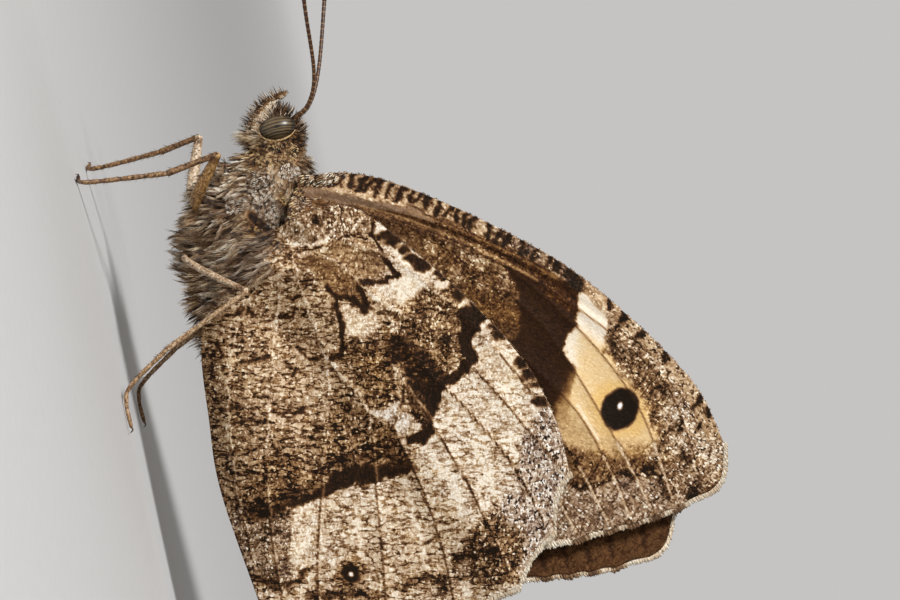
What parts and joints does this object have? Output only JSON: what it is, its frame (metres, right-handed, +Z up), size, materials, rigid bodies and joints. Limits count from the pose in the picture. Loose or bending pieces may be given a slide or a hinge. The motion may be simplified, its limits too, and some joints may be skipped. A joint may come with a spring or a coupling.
{
  "type": "eastern rock grayling butterfly",
  "caption": "Still, life-size eastern rock grayling butterfly standing with its mottled wings closed over its back.",
  "frame": {"origin": "on the floor under the middle of the animal's whole length and width", "axes": "+X the way the head points, +Y to the animal's left, +Z up"},
  "size_m": [0.0461, 0.0128, 0.0356],
  "materials": {
    "coat": "long silvery grey and tan hair over brown skin",
    "compound_eye": "glossy brown with darker bands",
    "antenna_horn": "ringed red-brown horn with pale scales",
    "wing_scales": "matt scales, mottled brown, cream and ochre",
    "leg_horn": "ochre and tan horn with fine spines"
  },
  "bodies": {
    "root": {"head": "coat", "thorax": "coat", "abdomen": "coat", "palp_left": "coat", "palp_right": "coat", "foreleg_left": "coat", "foreleg_right": "coat", "eye_left": "compound_eye", "eye_right": "compound_eye", "antenna_left": "antenna_horn", "antenna_right": "antenna_horn", "forewing_left": "wing_scales", "forewing_right": "wing_scales", "hindwing_left": "wing_scales", "hindwing_right": "wing_scales", "midleg_femur_left": "leg_horn", "midleg_femur_right": "leg_horn", "midleg_tibia_left": "leg_horn", "midleg_tibia_right": "leg_horn", "midleg_tarsus_left": "leg_horn", "midleg_tarsus_right": "leg_horn", "hindleg_femur_left": "leg_horn", "hindleg_femur_right": "leg_horn", "hindleg_tibia_left": "leg_horn", "hindleg_tibia_right": "leg_horn", "hindleg_tarsus_left": "leg_horn", "hindleg_tarsus_right": "leg_horn"}
  },
  "joints": []
}
